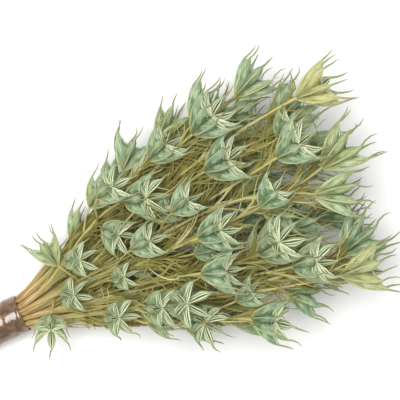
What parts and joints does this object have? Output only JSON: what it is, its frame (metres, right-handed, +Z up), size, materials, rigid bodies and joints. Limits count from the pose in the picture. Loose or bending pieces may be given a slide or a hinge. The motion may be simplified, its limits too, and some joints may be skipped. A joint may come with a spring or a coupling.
{
  "type": "tied bunch of dried seed pods",
  "caption": "Tied bunch of dried, star-shaped nigella seed pods with long thin beaks, lying on its side; the stems fan out from a wrapped neck.",
  "frame": {"origin": "under the middle of the bunch's bounding box, on the surface that it lies on", "axes": "+X along the bunch from the cut ends to the pods, +Y across it, +Z up"},
  "size_m": [0.4306, 0.201, 0.1269],
  "materials": {
    "dried_plant": "dry and matt",
    "wrap_film": "glossy"
  },
  "bodies": {
    "root": {"seed_stem_01": "dried_plant", "seed_stem_02": "dried_plant", "seed_stem_03": "dried_plant", "seed_stem_04": "dried_plant", "seed_stem_05": "dried_plant", "seed_stem_06": "dried_plant", "seed_stem_07": "dried_plant", "seed_stem_08": "dried_plant", "seed_stem_09": "dried_plant", "seed_stem_10": "dried_plant", "seed_stem_11": "dried_plant", "seed_stem_12": "dried_plant", "seed_stem_13": "dried_plant", "seed_stem_14": "dried_plant", "seed_stem_15": "dried_plant", "seed_stem_16": "dried_plant", "seed_stem_17": "dried_plant", "seed_stem_18": "dried_plant", "seed_stem_19": "dried_plant", "seed_stem_20": "dried_plant", "seed_stem_21": "dried_plant", "seed_stem_22": "dried_plant", "seed_stem_23": "dried_plant", "seed_stem_24": "dried_plant", "seed_stem_25": "dried_plant", "seed_stem_26": "dried_plant", "seed_stem_27": "dried_plant", "seed_stem_28": "dried_plant", "seed_stem_29": "dried_plant", "seed_stem_30": "dried_plant", "seed_stem_31": "dried_plant", "seed_stem_32": "dried_plant", "seed_stem_33": "dried_plant", "seed_stem_34": "dried_plant", "seed_stem_35": "dried_plant", "seed_stem_36": "dried_plant", "tie_wrap": "wrap_film"}
  },
  "joints": []
}
